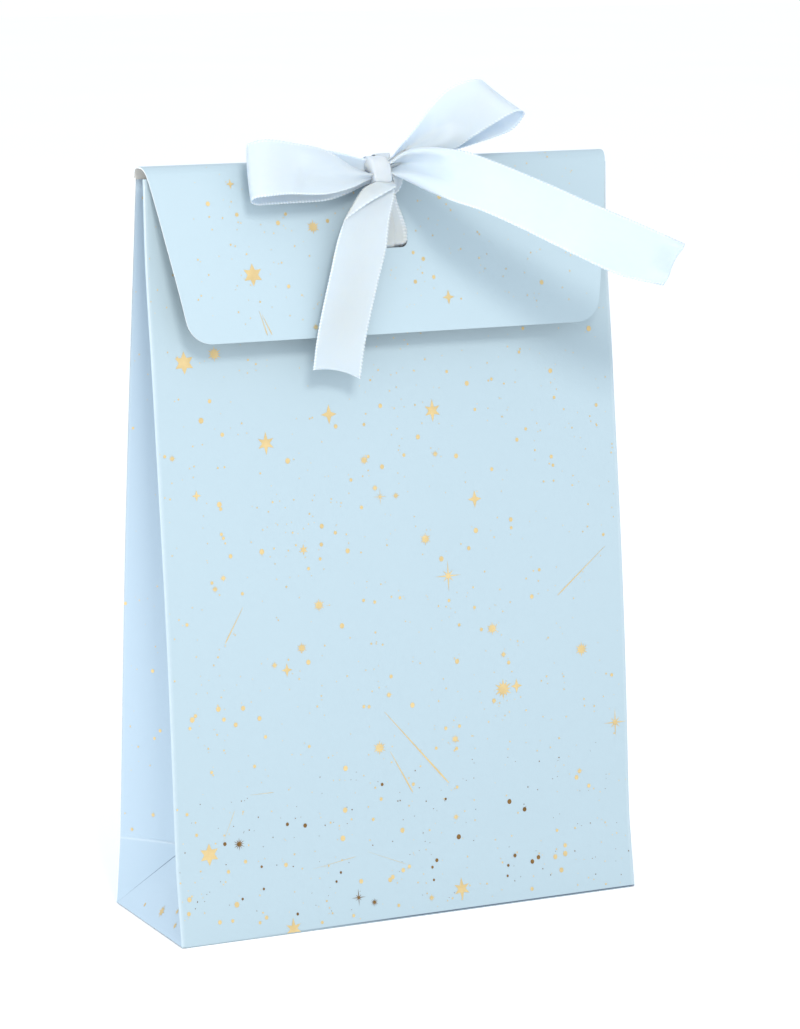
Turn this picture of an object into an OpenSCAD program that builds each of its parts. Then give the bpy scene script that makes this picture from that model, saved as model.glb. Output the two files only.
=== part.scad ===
// Block-bottom gift bag of printed card with a closing flap and a tied satin ribbon.
// One die-cut card sheet makes the panels, pleats, flap and base; one ribbon makes the bow.
// Origin: centre of the base on the floor. +X along the front, +Y to the back, +Z up.

/* [Bag] */
// Width of the front and back panels
bag_w = 150; // [120:1:200]
// Depth of the base, front to back
bag_d = 53; // [45:1:70]
// Height of the mouth above the floor
bag_h = 220.5; // [180:0.5:300]
// Outside gap between the panels at the closed mouth
mouth_gap = 7; // [6:0.5:10]
// Thickness of the card
card_t = 0.4; // [0.3:0.05:0.5]

/* [Base] */
// Height of the horizontal score round the bag
score_z = 21; // [18:1:26]
// Outside distance between the panels at the score
score_gap = 46; // [42:1:50]
// How far the base triangle leans in at its apex
triangle_in = 13.5; // [10:0.5:16]
// How far the two base flaps overlap each other
base_lap = 14; // [8:1:20]
// Length of the side tucks glued over the base flaps
tuck_l = 24; // [16:1:30]
// Width of the glued side seam
seam_w = 12; // [8:1:15]

/* [Flap] */
// Height of the top fold above the mouth
fold_rise = 3.3; // [2.5:0.1:5]
// Height of the closed flap's lower edge
flap_low_z = 173.9; // [150:0.5:185]
// How far the flap's lower edge stands out from the bag's middle
flap_low_y = 15.7; // [13:0.1:18]
// Half width of the flap where its lower corners would meet without rounding
flap_low_half = 64.6; // [55:0.5:70]
// Radius of the flap's lower corners
flap_corner_r = 8; // [4:0.5:12]

/* [Ribbon] */
// Width of the satin ribbon
ribbon_w = 16; // [12:1:20]
// Thickness of the ribbon solids
ribbon_t = 0.3; // [0.25:0.05:0.4]
// Width of the ribbon where it is gathered into the slots
lead_w = 9.5; // [8:0.5:10]
// Width of the slots
slot_w = 11; // [10.5:0.5:16]
// Height of the slots
slot_h = 6; // [5:0.5:8]
// Height of the middle of the slots
slot_z = 201.4; // [196:0.2:206]

/* [Hidden] */
$fn = 48;

card_blue = [0.80, 0.90, 0.94];
gusset_blue = [0.74, 0.85, 0.94];
flap_blue = [0.83, 0.92, 0.96];
inner_white = [0.95, 0.94, 0.90];
satin = [0.91, 0.95, 0.99];

gap = 0.1;                       // between separate sheets that lie on each other
fold_clear = 0.35;               // from the top fold's axis to each sheet's edge
fold_z = bag_h + fold_rise;
triangle_side = bag_d / 2;       // from the base edge to the apex, along the card
triangle_h = sqrt(triangle_side ^ 2 - triangle_in ^ 2);
gusset_top = bag_h - card_t;
gusset_low = 2;
gusset_rows = 12;
knot_c = [-2.6, -10.3, 220.3];   // middle of the bow's knot
knot_w = 6.6;
knot_d = 6.4;

// ---- plain geometry -------------------------------------------------------------------------

function unit(v) = v / norm(v);
function normal(a, b) = unit([a[1] - b[1], b[0] - a[0]]);
function path_normal(p, i) =
    i == 0 ? normal(p[0], p[1]) :
    i == len(p) - 1 ? normal(p[i - 1], p[i]) :
    let (n = normal(p[i - 1], p[i]), m = normal(p[i], p[i + 1])) (n + m) / (1 + n * m);
// The path moved sideways, to its left for a positive distance
function beside(p, d) = [for (i = [0:len(p) - 1]) p[i] + d * path_normal(p, i)];
function backwards(p) = [for (i = [len(p) - 1:-1:0]) p[i]];
// The path without its first d millimetres
function trimmed_start(p, d) = concat([p[0] + d * unit(p[1] - p[0])], [for (i = [1:len(p) - 1]) p[i]]);

// A thin strip along a path, on the path's left side for a positive thickness
module strip_2d(path, t) polygon(concat(path, backwards(beside(path, t))));

// A strip whose path is given in Y and Z, run along X
module bent_sheet(path, t, w) rotate([90, 0, 90]) linear_extrude(w, center = true) strip_2d(path, t);

module rounded_rect(w, h, r) {
    square([w - 2 * r, h], center = true);
    square([w, h - 2 * r], center = true);
    for (x = [-1, 1], y = [-1, 1]) translate([x * (w / 2 - r), y * (h / 2 - r)]) circle(r);
}

// Puts local X along u and local Z as near to w as it can be
module aim(origin, u, w) {
    x = unit(u);
    z = unit(w - (w * x) * x);
    y = cross(z, x);
    multmatrix([[x[0], y[0], z[0], origin[0]], [x[1], y[1], z[1], origin[1]], [x[2], y[2], z[2], origin[2]]])
        children();
}

// ---- card -----------------------------------------------------------------------------------

// Half of the outside distance between the panels at height z
function half_depth(z) = z < score_z
    ? bag_d / 2 + (score_gap - bag_d) / 2 * z / score_z
    : score_gap / 2 + (mouth_gap - score_gap) / 2 * (z - score_z) / (bag_h - score_z);
// How far in from the side edge the pleat's inner fold is at height z
function pleat_in(z) = sqrt((bag_d / 2) ^ 2 - half_depth(z) ^ 2);

panel_path = [[bag_d / 2, 0], [score_gap / 2, score_z], [mouth_gap / 2, bag_h]];
back_path = concat(panel_path, [[0, fold_z] - fold_clear * unit([-mouth_gap / 2, fold_rise])]);
// The closed flap from the fold's axis, over the mouth and down the front
flap_path = [[0, fold_z], [-3.4, fold_z - 0.8], [-5.3, fold_z - 3.2], [-flap_low_y, flap_low_z]];

// The slot that the ribbon is threaded through, run along Y
module slot_cut() translate([0, 0, slot_z]) rotate([90, 0, 0])
    linear_extrude(40, center = true) rounded_rect(slot_w, slot_h, 2);

module front_panel() color(card_blue) mirror([0, 1, 0]) difference() {
    bent_sheet(panel_path, card_t, bag_w);
    slot_cut();
}

module back_panel() color(card_blue) difference() {
    bent_sheet(back_path, card_t, bag_w);
    slot_cut();
}

// The flap seen from the front: full width at the fold, with two round lower corners
module flap_outline() {
    side = unit([bag_w / 2 - flap_low_half, fold_z - flap_low_z]);
    lean = atan2(side[0], side[1]);
    corner = flap_corner_r * (1 + sin(lean)) / cos(lean);
    c = [flap_low_half + corner * side[0] - flap_corner_r * cos(lean), flap_low_z + flap_corner_r];
    arc = [for (a = [-90:10:-lean]) c + flap_corner_r * [cos(a), sin(a)]];
    last = c + flap_corner_r * [cos(-lean), sin(-lean)];
    right = concat(arc, [last, [bag_w / 2, fold_z], [bag_w / 2, fold_z + 1]]);
    polygon(concat(right, [for (p = backwards(right)) [-p[0], p[1]]]));
}

module closing_flap() color(flap_blue) difference() {
    intersection() {
        bent_sheet(trimmed_start(flap_path, fold_clear), card_t, bag_w);
        rotate([90, 0, 0]) linear_extrude(60, center = true) flap_outline();
    }
    slot_cut();
}

// One row of a rear gusset half on the left side: four corners at height z.
// Below the apex the sheet ends on the diagonal crease, above it on the pleat's inner fold.
function gusset_row(z) =
    let (s = half_depth(z),
         low = z < triangle_h,
         f = z / triangle_h,
         edge = [-bag_w / 2, s - 2 * card_t - 2 * gap],
         inner = low ? [-bag_w / 2 + triangle_in * f, bag_d / 2 * (1 - f)] : [-bag_w / 2 + pleat_in(z), 0],
         fold = [inner[0], max(inner[1] - 2 * card_t - 2 * gap, 0.6)],
         out = unit([edge[1] - fold[1], fold[0] - edge[0]]),
         shift = [card_t * out[0] + gap, 0])
    [for (p = [edge + shift, fold + shift, fold + shift - card_t * out, edge + shift - card_t * out])
        [p[0], p[1], z]];

// A closed skin over rows of four corners
module row_solid(rows) {
    n = len(rows);
    points = [for (r = rows) for (p = r) p];
    // both broad faces are cut along the same diagonal, so that a twisted sheet keeps its thickness
    sides = [for (i = [0:n - 2], j = [0:3]) let (a = 4 * i + j, b = 4 * i + (j + 1) % 4)
        for (f = j == 2 ? [[a, b, a + 4], [b, b + 4, a + 4]] : [[a, b, b + 4], [a, b + 4, a + 4]]) f];
    polyhedron(points, concat([[3, 2, 1], [3, 1, 0]], sides,
        [[4 * n - 4, 4 * n - 3, 4 * n - 2], [4 * n - 4, 4 * n - 2, 4 * n - 1]]));
}

module gusset_half() row_solid([for (i = [0:gusset_rows])
    gusset_row(gusset_low + (gusset_top - gusset_low) * i / gusset_rows)]);

module left_gusset_rear() color(gusset_blue) gusset_half();
module left_gusset_front() color(gusset_blue) mirror([0, 1, 0]) gusset_half();
module right_gusset_rear() color(gusset_blue) mirror([1, 0, 0]) gusset_half();
module right_gusset_front() color(gusset_blue) rotate([0, 0, 180]) gusset_half();

// The triangle between the two diagonal creases, which leans in from the base's side edge
module base_triangle() translate([-bag_w / 2, 0, 0])
    rotate([0, asin(triangle_in / triangle_side), 0]) rotate([90, 0, 90]) linear_extrude(card_t)
        polygon([[-bag_d / 2 + 2.4, 0], [bag_d / 2 - 2.4, 0], [0, triangle_side - 2.4]]);

module left_base_triangle() color(gusset_blue) base_triangle();
module right_base_triangle() color(gusset_blue) mirror([1, 0, 0]) base_triangle();

// A base sheet on layer n, between two depths
module base_sheet(n, y0, y1) translate([-bag_w / 2 + 1.4, y0, n * card_t])
    cube([bag_w - 2.8, y1 - y0, card_t]);

module base_front_flap() color(card_blue) base_sheet(0, -bag_d / 2 + card_t + gap, base_lap / 2);
module base_rear_flap() color(inner_white) base_sheet(1, -base_lap / 2, bag_d / 2 - card_t - 2 * gap);

module base_tuck() translate([-bag_w / 2 + 1.6, 0, 2 * card_t]) linear_extrude(card_t)
    polygon([[0, -bag_d / 2 + 1.6], [tuck_l, -bag_d / 4], [tuck_l, bag_d / 4], [0, bag_d / 2 - 1.6]]);

module base_left_tuck() color(inner_white) base_tuck();
module base_right_tuck() color(inner_white) mirror([1, 0, 0]) base_tuck();

// The tab on the right gusset's rear edge, glued to the inside of the back panel
module seam_tab() color(inner_white) translate([bag_w / 2 - seam_w / 2 - 1, 0, 0])
    bent_sheet([for (z = [6, score_z, bag_h - 2]) [half_depth(z) - card_t - gap, z]], card_t, seam_w);

// ---- ribbon ---------------------------------------------------------------------------------

// The ribbon goes through both panels, up the back and over the top fold to the bow
lip = unit([mouth_gap / 2, -fold_rise]);
lip_out = [fold_rise, mouth_gap / 2] / norm([fold_rise, mouth_gap / 2]);
back_lead = [[-8.4, slot_z], [half_depth(slot_z) + 0.9, slot_z],
             [mouth_gap / 2 + 0.35, bag_h], [0, fold_z] + 1.6 * lip + 0.2 * lip_out];

module ribbon_back_strand() color(satin) bent_sheet(back_lead, -ribbon_t, lead_w);

front_side = beside(flap_path, -2 * gap);

over_path = [front_side[0] + 1.6 * unit(flap_path[1] - flap_path[0]), front_side[1], front_side[2],
             front_side[2] + 2.2 * unit(flap_path[3] - flap_path[2])];

module ribbon_over_top() color(satin) translate([knot_c[0] * 0.5, 0, 0])
    bent_sheet(over_path, -ribbon_t, lead_w);

// Down from behind the knot and in through the flap's slot
flap_slope = (flap_path[2][0] - flap_path[3][0]) / (flap_path[2][1] - flap_path[3][1]);
function flap_y(z) = flap_path[2][0] + flap_slope * (z - flap_path[2][1]);
front_lead = [[flap_y(217) - 0.2, 217], [flap_y(slot_z) - 0.6, slot_z + 0.6],
              [flap_y(slot_z) + card_t, slot_z]];

module ribbon_front_lead() color(satin) bent_sheet(front_lead, -ribbon_t, lead_w);

module ribbon_knot() color(satin) translate(knot_c) rotate([0, -10, 0])
    linear_extrude(6.4, center = true) rounded_rect(knot_w, knot_d, 2.4);

// Widens a ribbon from the knot to its full width
module root_taper(l, root) rotate([90, 0, 0]) linear_extrude(60, center = true)
    polygon([[0, -root / 2], [0.3 * ribbon_w, -0.3 * ribbon_w], [ribbon_w, -ribbon_w / 2], [l, -ribbon_w / 2],
             [l, ribbon_w / 2], [ribbon_w, ribbon_w / 2], [0.3 * ribbon_w, 0.3 * ribbon_w], [0, root / 2]]);

// One loop of the bow, flattened to a drop; local X runs out of the knot
module bow_loop(l, bulge) intersection() {
    r = bulge / 2;
    side = [for (i = [0:5]) [l * 0.13 * i, 0.8 + (r - 0.8) * sin(18 * i)]];
    round = [for (a = [75:-15:0]) [l * 0.65 + (l * 0.35) * cos(a), r * sin(a)]];
    upper = concat(side, round);
    path = concat(upper, [for (i = [len(upper) - 2:-1:0]) [upper[i][0], -upper[i][1]]]);
    linear_extrude(ribbon_w, center = true) strip_2d(path, -ribbon_t);
    root_taper(l, 5);
}

// One free end of the bow, with a slanted cut
module bow_tail(l, slant) intersection() {
    linear_extrude(ribbon_w, center = true)
        strip_2d([[0, 0], [l * 0.3, -1.2], [l * 0.65, -1], [l + 4, 0]], ribbon_t);
    root_taper(l + 4, 5);
    rotate([90, 0, 0]) linear_extrude(60, center = true)
        polygon([[-1, -20], [l - slant, -20], [l + slant, 20], [-1, 20]]);
}

module ribbon_left_loop() color(satin)
    aim(knot_c + [-knot_w / 2 - 0.7, 0.2, 0.6], [-40.6, -4, 1.4], [0, 0.42, 0.91]) bow_loop(41, 8.5);
module ribbon_right_loop() color(satin)
    aim(knot_c + [knot_w / 2 + 0.6, 1.2, 2.8], [31.7, -6, 19.2], [-0.44, 0.33, 0.83]) bow_loop(38, 6);
module ribbon_long_tail() color(satin)
    aim(knot_c + [knot_w / 2 + 0.8, -3, -1.6], [67, -43, -24], [0.4, 0.3, 0.87]) bow_tail(82, 2);
module ribbon_short_tail() color(satin)
    aim(knot_c + [-0.6, -3.2, -4], [-20, -7, -53], [0.95, 0, -0.35]) bow_tail(56, 1.5);

front_panel();
back_panel();
closing_flap();
left_gusset_front();
left_gusset_rear();
right_gusset_front();
right_gusset_rear();
left_base_triangle();
right_base_triangle();
base_front_flap();
base_rear_flap();
base_left_tuck();
base_right_tuck();
seam_tab();
ribbon_back_strand();
ribbon_over_top();
ribbon_front_lead();
ribbon_knot();
ribbon_left_loop();
ribbon_right_loop();
ribbon_short_tail();
ribbon_long_tail();
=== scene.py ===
"""A card gift bag with a closing flap and a satin bow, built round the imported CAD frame."""
import math
import random

import bmesh
import bpy
import numpy as np
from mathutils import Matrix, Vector, noise


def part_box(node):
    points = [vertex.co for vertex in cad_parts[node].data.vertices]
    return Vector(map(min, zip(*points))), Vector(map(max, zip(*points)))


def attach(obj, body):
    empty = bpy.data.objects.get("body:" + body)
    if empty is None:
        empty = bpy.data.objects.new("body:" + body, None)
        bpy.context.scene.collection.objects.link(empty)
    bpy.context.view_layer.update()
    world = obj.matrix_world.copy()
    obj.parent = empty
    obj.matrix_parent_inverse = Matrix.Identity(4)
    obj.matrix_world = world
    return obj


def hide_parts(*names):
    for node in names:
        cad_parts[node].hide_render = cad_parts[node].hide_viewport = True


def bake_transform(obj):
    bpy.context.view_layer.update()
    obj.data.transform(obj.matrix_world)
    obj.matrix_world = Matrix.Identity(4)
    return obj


MM = 0.001


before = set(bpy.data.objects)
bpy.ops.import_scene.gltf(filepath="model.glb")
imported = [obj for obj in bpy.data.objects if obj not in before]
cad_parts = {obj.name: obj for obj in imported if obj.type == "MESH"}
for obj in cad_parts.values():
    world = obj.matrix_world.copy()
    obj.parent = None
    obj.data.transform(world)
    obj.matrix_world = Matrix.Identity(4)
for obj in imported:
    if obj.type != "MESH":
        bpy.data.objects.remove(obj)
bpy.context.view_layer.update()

# ---- driving sizes, in millimetres, as in the CAD model ----------------

panel_lo, panel_hi = (np.array(p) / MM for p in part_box("front_panel"))
HALF_W = panel_hi[0]                # half of the panels' width
HALF_D = -panel_lo[1]               # half of the base's depth
MOUTH_Z = 220.5                     # height of the mouth
HALF_MOUTH = 3.5                    # half of the gap between the panels at the mouth
SCORE_Z = 21.0                      # height of the score round the bag
HALF_SCORE = 23.0                   # half of the depth at the score
FOLD_Z = 223.8                      # height of the top fold's axis
TRIANGLE_IN = 13.5                  # how far in the base triangle's apex leans
TRIANGLE_Z = math.sqrt(HALF_D ** 2 - TRIANGLE_IN ** 2)
CARD = 0.4                          # thickness of the card
LIFT = 0.4                          # height of the walls' lower folds above the base's layers
RIBBON_W = 16.0                     # width of the satin ribbon
PICOT = 1.0                         # pitch of the little loops along the ribbon's edges
SLOT_W, SLOT_H = 11.0, 6.0          # width and height of the ribbon's slots
SLOT_R = 2.0                        # radius of the slots' corners
SLOT_Z = 201.4                      # height of the slots' middle
BESIDE_SLOT = SLOT_W / 2 + 1.0      # where the card's cells are cut beside the slots


# ---- materials ----------------

class Nodes:
    """A material's node tree, with short calls to add and join nodes."""

    def __init__(self, name):
        self.material = bpy.data.materials.new(name)
        self.material.use_nodes = True
        self.tree = self.material.node_tree
        self.shader = self.tree.nodes["Principled BSDF"]

    def add(self, kind, inputs=None, **settings):
        node = self.tree.nodes.new(kind)
        for key, value in settings.items():
            setattr(node, key, value)
        for key, value in (inputs or {}).items():
            self.put(node.inputs[key], value)
        return node

    def put(self, socket, value):
        if isinstance(value, bpy.types.NodeSocket):
            self.tree.links.new(value, socket)
        else:
            socket.default_value = value

    def set(self, **inputs):
        for key, value in inputs.items():
            self.put(self.shader.inputs[key.replace("_", " ")], value)

    def math(self, operation, a, b=0.0, c=0.0):
        node = self.add("ShaderNodeMath", operation=operation)
        for socket, value in zip(node.inputs, (a, b, c)):
            self.put(socket, value)
        return node.outputs[0]

    def mix(self, factor, a, b):
        node = self.add("ShaderNodeMix", data_type="RGBA")
        self.put(node.inputs[0], factor)
        self.put(node.inputs[6], a)
        self.put(node.inputs[7], b)
        return node.outputs[2]

    def noise(self, scale, detail=3.0, coordinates=None):
        node = self.add("ShaderNodeTexNoise", {"Scale": scale, "Detail": detail})
        if coordinates is not None:
            self.put(node.inputs["Vector"], coordinates)
        return node.outputs["Fac"]

    def attribute(self, name):
        return self.add("ShaderNodeAttribute", attribute_name=name).outputs["Fac"]

    def bump(self, height, strength, distance, normal=None):
        node = self.add("ShaderNodeBump", {"Height": height, "Strength": strength, "Distance": distance * MM})
        if normal is not None:
            self.put(node.inputs["Normal"], normal)
        return node.outputs["Normal"]


def colour(red, green, blue):
    """An sRGB colour, 0 to 255, as linear RGBA."""
    def linear(c):
        c /= 255
        return c / 12.92 if c <= 0.04045 else ((c + 0.055) / 1.055) ** 2.4
    return (linear(red), linear(green), linear(blue), 1.0)


def card_material(name, tint, wear_and_light):
    """Coated card: a fine fibre grain, faint mottling, paler along its folds and creases from rubbed wear and
    a painted highlight, and darker on painted lines of shade.
    """
    n = Nodes(name)
    place = n.add("ShaderNodeTexCoord").outputs["Object"]
    mottle = n.noise(90.0, 2.0, place)
    fibre = n.noise(2600.0, 4.0, place)
    shade = n.mix(n.math("MULTIPLY", mottle, 0.10), tint, [c * 0.93 for c in tint[:3]] + [1.0])
    # values above zero make it paler: rubbed wear along folds and creases, and a painted highlight on them
    rub_and_highlight = n.math("MULTIPLY", n.attribute("wear_and_painted_light"), n.math("ADD", 0.35, n.noise(700.0, 3.0, place)))
    # values below zero mark a painted line of shade inside a fold or under the base edge
    line = n.math("MULTIPLY", n.attribute("wear_and_painted_light"), -1.0)
    n.set(Base_Color=n.mix(line, n.mix(rub_and_highlight, shade, wear_and_light), FOLD_SHADE),
          Roughness=n.math("MULTIPLY_ADD", fibre, 0.18, 0.50),
          Specular_IOR_Level=0.32,
          Normal=n.bump(fibre, 0.05, 0.04, n.bump(mottle, 0.10, 0.3)))
    return n.material


def board_material(name, tint):
    """The card's bare inner side and cut edges: soft, fibrous and dull."""
    n = Nodes(name)
    place = n.add("ShaderNodeTexCoord").outputs["Object"]
    fibre = n.noise(1500.0, 5.0, place)
    n.set(Base_Color=n.mix(n.math("MULTIPLY", fibre, 0.25), tint, [c * 0.86 for c in tint[:3]] + [1.0]),
          Roughness=0.88, Specular_IOR_Level=0.2, Normal=n.bump(fibre, 0.35, 0.06))
    return n.material


def foil_material(shaded=False):
    """Hot-stamped gold foil: warm, softly reflective, with a fine crinkle that makes it glint; the shaded
    copy is the gold painted dark, as painted shade.
    """
    n = Nodes("gold_foil_painted_shade" if shaded else "gold_foil")
    place = n.add("ShaderNodeTexCoord").outputs["Object"]
    patch = n.noise(260.0, 2.0, place)
    light = (colour(190, 164, 114), colour(220, 196, 144))
    # painted shade: the gold darkened for the shaded copy
    painted_shade_gold = (colour(62, 42, 16), colour(156, 118, 66))
    gold = n.mix(patch, *(painted_shade_gold if shaded else light))
    n.set(Base_Color=gold, Metallic=0.72, Roughness=n.math("MULTIPLY_ADD", patch, 0.25, 0.30),
          Normal=n.bump(n.noise(1200.0, 2.0, place), 0.35, 0.05))
    return n.material


def satin_material(name, light, deep):
    """Single-face satin: a diagonal float weave across the ribbon, a ribbed selvedge, a soft sheen, and
    streaks along it painted lighter and darker as painted sheen.
    """
    n = Nodes(name)
    uv = n.add("ShaderNodeUVMap", uv_map="weave").outputs["UV"]
    split = n.add("ShaderNodeSeparateXYZ", {"Vector": uv})
    across, along = split.outputs["X"], split.outputs["Y"]
    # U runs over the width from 0 to 1 and V is the length in ribbon widths
    from_edge = n.math("MINIMUM", across, n.math("SUBTRACT", 1.0, across))
    selvedge = n.math("LESS_THAN", from_edge, 0.04)
    diagonal = n.math("ADD", across, n.math("MULTIPLY", along, 1.25))
    twill = n.math("SINE", n.math("MULTIPLY", diagonal, 330.0))
    ribs = n.math("SINE", n.math("MULTIPLY", along, 2 * math.pi * RIBBON_W / PICOT))
    stretch = n.add("ShaderNodeMapping", {"Vector": uv, "Scale": (60.0, 4.0, 1.0)}).outputs["Vector"]
    streak_and_painted_sheen = n.noise(1.0, 3.0, stretch)
    height = n.add("ShaderNodeMix", data_type="FLOAT")
    n.put(height.inputs[0], selvedge)
    n.put(height.inputs[2], n.math("MULTIPLY_ADD", twill, 0.22, streak_and_painted_sheen))
    n.put(height.inputs[3], n.math("MULTIPLY", ribs, 0.9))
    # painted sheen: the streaks mix the light and deep tints along the ribbon
    painted_sheen_tint = n.mix(n.math("MULTIPLY", streak_and_painted_sheen, 0.45), light, deep)
    tint = n.mix(n.math("MULTIPLY", selvedge, n.math("MULTIPLY_ADD", ribs, 0.45, 0.5)), painted_sheen_tint, SELVEDGE)
    n.set(Base_Color=tint, Roughness=n.math("MULTIPLY_ADD", streak_and_painted_sheen, 0.14, 0.34), Specular_IOR_Level=0.42,
          Anisotropic=0.55, Sheen_Weight=0.22, Sheen_Roughness=0.4, Sheen_Tint=colour(235, 242, 255),
          Subsurface_Weight=0.75, Subsurface_Radius=(0.7 * MM, 0.9 * MM, 1.3 * MM), Subsurface_Scale=1.0,
          Normal=n.bump(height.outputs[0], 0.6, 0.05))
    return n.material


def floor_material():
    n = Nodes("studio_floor")
    place = n.add("ShaderNodeTexCoord").outputs["Object"]
    white = n.mix(n.noise(3.0, 2.0, place), colour(252, 252, 252), colour(255, 255, 255))
    n.set(Base_Color=white, Roughness=0.9, Specular_IOR_Level=0.1)
    return n.material


SELVEDGE = colour(198, 205, 211)
FRONT_BLUE = colour(159, 176, 183)
# the flap's and the pleats' blue are the front's card painted lighter, as painted light, the pleats' most
FLAP_BLUE_PAINTED_LIGHT = colour(163, 180, 187)
GUSSET_BLUE_PAINTED_LIGHT = colour(165, 182, 194)
# pale colour of rubbed folds, also a painted highlight along them
PALE_WEAR_HIGHLIGHT = colour(196, 204, 208)
# painted shade: the dark lines inside folds and under the base edge
FOLD_SHADE = colour(52, 64, 84)

PRINTED = card_material("printed_card", FRONT_BLUE, PALE_WEAR_HIGHLIGHT)
# the flap and the pleats take the card painted lighter, as painted light
FLAP_PRINT_PAINTED_LIGHT = card_material("flap_card", FLAP_BLUE_PAINTED_LIGHT, PALE_WEAR_HIGHLIGHT)
GUSSET_PRINT_PAINTED_LIGHT = card_material("gusset_card", GUSSET_BLUE_PAINTED_LIGHT, PALE_WEAR_HIGHLIGHT)
INSIDE = board_material("card_inside", colour(198, 195, 188))
CUT_EDGE = board_material("card_cut_edge", colour(212, 214, 214))
BASE_LAYERS = (("base_front_flap", PRINTED), ("base_rear_flap", INSIDE), ("base_left_tuck", INSIDE),
               ("base_right_tuck", INSIDE), ("seam_tab", INSIDE))
FOIL = foil_material()
SATIN = satin_material("satin_ribbon", colour(181, 189, 195), colour(171, 182, 194))
# the knot's satin is the ribbon's painted lighter and bluer: painted light on the knot
KNOT_SATIN_PAINTED_LIGHT = satin_material("satin_ribbon_knot_painted_light", colour(198, 208, 224), colour(176, 193, 222))


# ---- mesh helpers ----------------

def new_mesh(name, points, faces, materials, slots=None):
    """A smooth mesh object from points in millimetres; slots gives each face's material index."""
    mesh = bpy.data.meshes.new(name)
    mesh.from_pydata([tuple(np.array(p) * MM) for p in points], [], faces)
    mesh.validate()
    for m in materials:
        mesh.materials.append(m)
    mesh.polygons.foreach_set("use_smooth", [True] * len(mesh.polygons))
    if slots is not None:
        mesh.polygons.foreach_set("material_index", slots)
    mesh.update()
    obj = bpy.data.objects.new(name, mesh)
    bpy.context.scene.collection.objects.link(obj)
    return obj


def smoothstep(x, lo, hi):
    t = min(1.0, max(0.0, (x - lo) / (hi - lo)))
    return t * t * (3 - 2 * t)


def unit_rows(v):
    return v / (np.linalg.norm(v, axis=-1, keepdims=True) + 1e-9)


def arc(centre, radius, start, end, steps):
    """Points on a circle's arc, angles in degrees."""
    angles = [math.radians(start + (end - start) * i / steps) for i in range(steps + 1)]
    return [(centre[0] + radius * math.cos(a), centre[1] + radius * math.sin(a)) for a in angles]


def cut_outline(outline, u_cuts, v_cuts):
    """Splits a flat outline into cells along the lines u = ... and v = ..., so that it can bend smoothly."""
    bm = bmesh.new()
    bm.faces.new([bm.verts.new((u, v, 0)) for u, v in outline])
    for axis, cuts in ((0, u_cuts), (1, v_cuts)):
        normal = (1, 0, 0) if axis == 0 else (0, 1, 0)
        for cut in cuts:
            point = (cut, 0, 0) if axis == 0 else (0, cut, 0)
            bmesh.ops.bisect_plane(bm, geom=bm.verts[:] + bm.edges[:] + bm.faces[:], plane_co=point,
                                   plane_no=normal, dist=1e-5)
    bmesh.ops.remove_doubles(bm, verts=bm.verts[:], dist=1e-4)
    bm.verts.ensure_lookup_table()
    points = [(v.co.x, v.co.y) for v in bm.verts]
    faces = [[v.index for v in f.verts] for f in bm.faces]
    bm.free()
    return points, faces


def join_cells(parts):
    """Joins several cut outlines into one, merging the points that they share."""
    index, points, faces = {}, [], []
    for part_points, part_faces in parts:
        here = []
        for p in part_points:
            key = (round(p[0], 3), round(p[1], 3))
            if key not in index:
                index[key] = len(points)
                points.append(p)
            here.append(index[key])
        faces += [[here[i] for i in f] for f in part_faces]
    return points, faces


def closed_shell(faces, count):
    """Both sides' faces and the rim's, from the outer side's faces over count points, and the rim's edges."""
    sides = {(a, b) for f in faces for a, b in zip(f, f[1:] + f[:1])}
    rim = sorted((a, b) for a, b in sides if (b, a) not in sides)
    inner = [[i + count for i in reversed(f)] for f in faces]
    return faces + inner + [[b, a, a + count, b + count] for a, b in rim], rim


def card_object(name, outer, inner, faces, wear_and_light, printed):
    """A closed sheet of card from both sides' points, the outer side's faces and each point's wear and
    painted light: paler from wear and painted highlight above zero, painted shade below.
    """
    all_faces, rim = closed_shell(faces, len(outer))
    slots = [0] * len(faces) + [1] * len(faces) + [2] * len(rim)
    obj = new_mesh(name, outer + inner, all_faces, [printed, INSIDE, CUT_EDGE], slots)
    layer = obj.data.attributes.new("wear_and_painted_light", "FLOAT", "POINT")
    layer.data.foreach_set("value", np.array(wear_and_light + wear_and_light, np.float32))
    return obj, rim


def card_sheet(name, cells, place, wear_and_painted_light, printed):
    """A sharp-edged sheet of card over flat cells; place(u, v) gives a printed point and its normal."""
    flat, faces = cells
    outer, inner, wear_and_light = [], [], []
    for u, v in flat:
        p, n = place(u, v)
        outer.append(p)
        inner.append(p - n * CARD)
        wear_and_light.append(wear_and_painted_light(u, v))
    obj, rim = card_object(name, outer, inner, faces, wear_and_light, printed)
    count = len(flat)
    rim_set = {frozenset(e) for e in rim} | {frozenset((a + count, b + count)) for a, b in rim}
    sharp = [frozenset(e.vertices) in rim_set for e in obj.data.edges]
    mark = obj.data.attributes.new("sharp_edge", "BOOLEAN", "EDGE")
    mark.data.foreach_set("value", sharp)
    return obj


def ladder(lo, hi, step, extra=()):
    """Evenly spaced cuts between two values, with some extra ones."""
    n = max(1, round((hi - lo) / step))
    even = {round(lo + (hi - lo) * i / n, 3) for i in range(1, n)}
    return sorted(even | {round(e, 3) for e in extra if lo < e < hi})


# ---- the bag's shape ----------------

def half_depth(z):
    """Half of the outside depth at height z, with the score as a soft bend."""
    low = HALF_D + (HALF_SCORE - HALF_D) * z / SCORE_Z
    high = HALF_SCORE + (HALF_MOUTH - HALF_SCORE) * (z - SCORE_Z) / (MOUTH_Z - SCORE_Z)
    t = smoothstep(z, SCORE_Z - 3, SCORE_Z + 3)
    return low * (1 - t) + high * t


def hump(z, lo, hi, skew):
    """One smooth rise and fall between two heights."""
    t = min(0.9999, max(0.0, (z - lo) / (hi - lo)))
    return math.sin(math.pi * t ** skew) ** 1.3


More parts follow.
